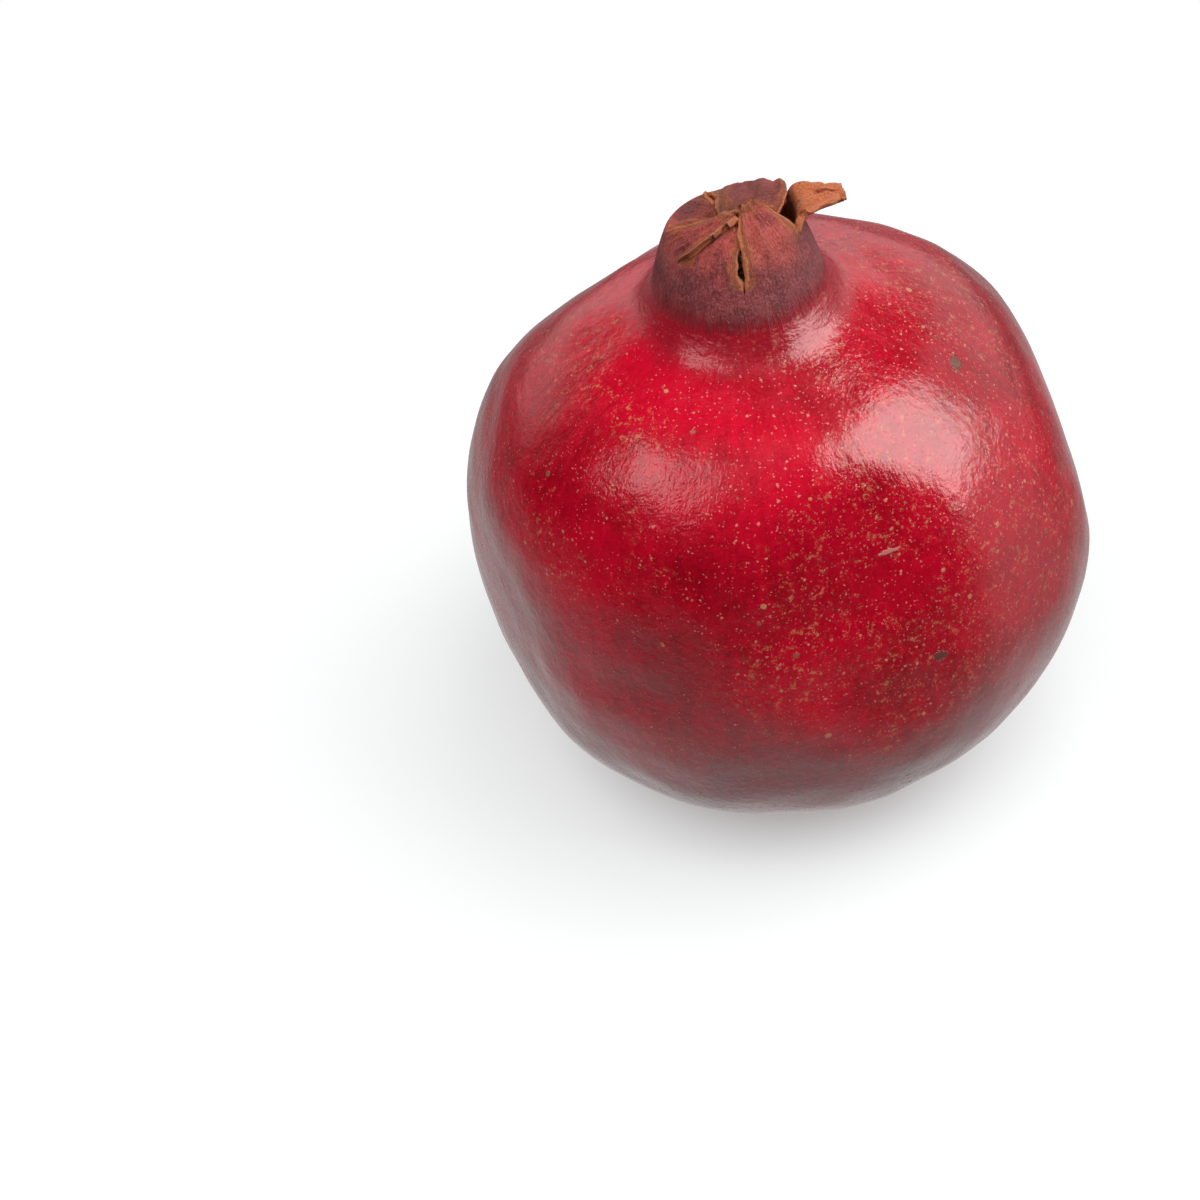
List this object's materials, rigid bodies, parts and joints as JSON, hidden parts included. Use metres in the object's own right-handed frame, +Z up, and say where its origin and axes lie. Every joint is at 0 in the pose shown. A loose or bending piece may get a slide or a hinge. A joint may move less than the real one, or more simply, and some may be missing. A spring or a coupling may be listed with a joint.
{
  "type": "pomegranate",
  "caption": "Whole ripe pomegranate standing on a small flat spot, with a leathery red rind and a crown of dry, folded sepals over its dried stamens.",
  "frame": {"origin": "centre of the fruit's box in plan, on the plane of the flat spot that it rests on", "axes": "+Z up towards the crown, -Y the side that faces the viewer, +X the side towards which one sepal bends out"},
  "size_m": [0.0896, 0.088, 0.1004],
  "materials": {
    "rind": "waxy, semi-gloss",
    "dry_sepal": "dry, matt",
    "dry_stamen": "dry, matt",
    "dry_style": "dry, matt",
    "stem_wood": "dry, rough"
  },
  "bodies": {
    "root": {"fruit": "rind", "sepal_left": "dry_sepal", "sepal_front_left": "dry_sepal", "sepal_front_right": "dry_sepal", "sepal_right": "dry_sepal", "sepal_back_right": "dry_sepal", "sepal_back_left": "dry_sepal", "stamens": "dry_stamen", "style": "dry_style", "stem_stub": "stem_wood"}
  },
  "joints": []
}
